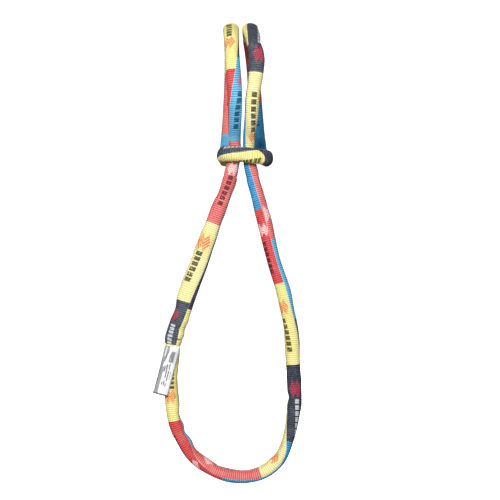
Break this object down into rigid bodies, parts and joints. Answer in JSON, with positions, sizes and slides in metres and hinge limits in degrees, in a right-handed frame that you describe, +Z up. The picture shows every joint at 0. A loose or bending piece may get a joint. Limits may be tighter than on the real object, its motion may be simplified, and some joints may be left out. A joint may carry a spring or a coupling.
{
  "type": "round sling",
  "caption": "Soft endless lifting sling: a polyester yarn core in a woven printed cover with a film-sleeved label, laid as a choker hitch round a bar.",
  "frame": {"origin": "on the axis of the bar that the sling is choked on, midway between its two strands", "axes": "+X along the bar, +Z up, and the collar of the choker hitch faces -Y"},
  "size_m": [0.1926, 0.1863, 0.6046],
  "materials": {
    "cover": "ribbed woven polyester in coloured blocks: yellow, black, red and blue",
    "core": "undyed parallel polyester yarn",
    "thread": "bonded polyester sewing thread",
    "film": "clear flexible film, glossy, slightly creased",
    "insert": "white printed polyester label, matt"
  },
  "bodies": {
    "hitch": {"cover_hitch": "cover", "core_hitch": "core"},
    "leg_neck": {"cover_neck_left": "cover", "cover_neck_right": "cover", "core_neck_left": "core", "core_neck_right": "core"},
    "hanging_loop": {"cover_left_leg": "cover", "cover_lower_loop": "cover", "core_loop": "core", "closing_seam": "thread"},
    "label": {"label_film": "film", "label_insert": "insert"}
  },
  "joints": [
    {"name": "loop_sway", "type": "hinge", "parent": "hitch", "child": "leg_neck", "pos_m": [-0.004, -0.04651, -0.09862], "axis": [0, 1, 0], "range_deg": [-20, 20], "deforming": ["cover_neck_left", "cover_neck_right", "core_neck_left", "core_neck_right"]},
    {"name": "loop_swing", "type": "hinge", "parent": "leg_neck", "child": "hanging_loop", "pos_m": [0, -0.04651, -0.12962], "axis": [1, 0, 0], "range_deg": [-60, 45], "deforming": ["cover_neck_left", "cover_neck_right", "core_neck_left", "core_neck_right"]},
    {"name": "label_flap", "type": "hinge", "parent": "hanging_loop", "child": "label", "pos_m": [-0.08889, -0.05871, -0.33415], "axis": [-0.9681, 0, 0.2504], "range_deg": [0, 120]}
  ]
}
